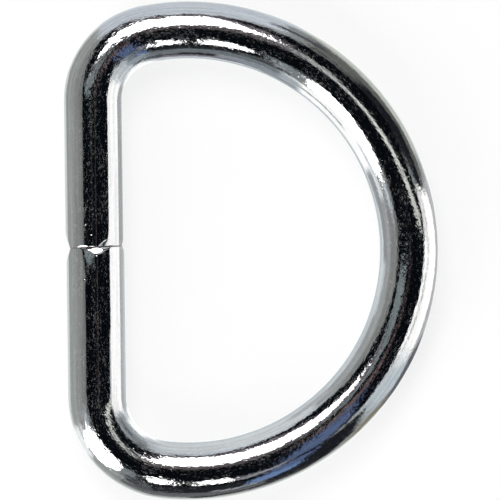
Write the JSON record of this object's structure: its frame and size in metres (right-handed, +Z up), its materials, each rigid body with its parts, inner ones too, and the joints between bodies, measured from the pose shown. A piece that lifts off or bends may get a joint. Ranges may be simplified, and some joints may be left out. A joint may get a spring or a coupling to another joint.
{
  "type": "d ring",
  "caption": "D-shaped ring of round plated wire for a strap: a straight bar with a butt joint, two bends and a round bow.",
  "frame": {"origin": "under the middle of the ring's outline, on the surface that the ring lies on", "axes": "+Z up from that surface, +Y along the strap bar towards its tighter bend, +X from the bar towards the bow"},
  "size_m": [0.0243, 0.0326, 0.0038],
  "materials": {
    "plating": "bright plated steel wire with faint drawn lines and fine pits"
  },
  "bodies": {
    "root": {"bent_wire": "plating"}
  },
  "joints": []
}
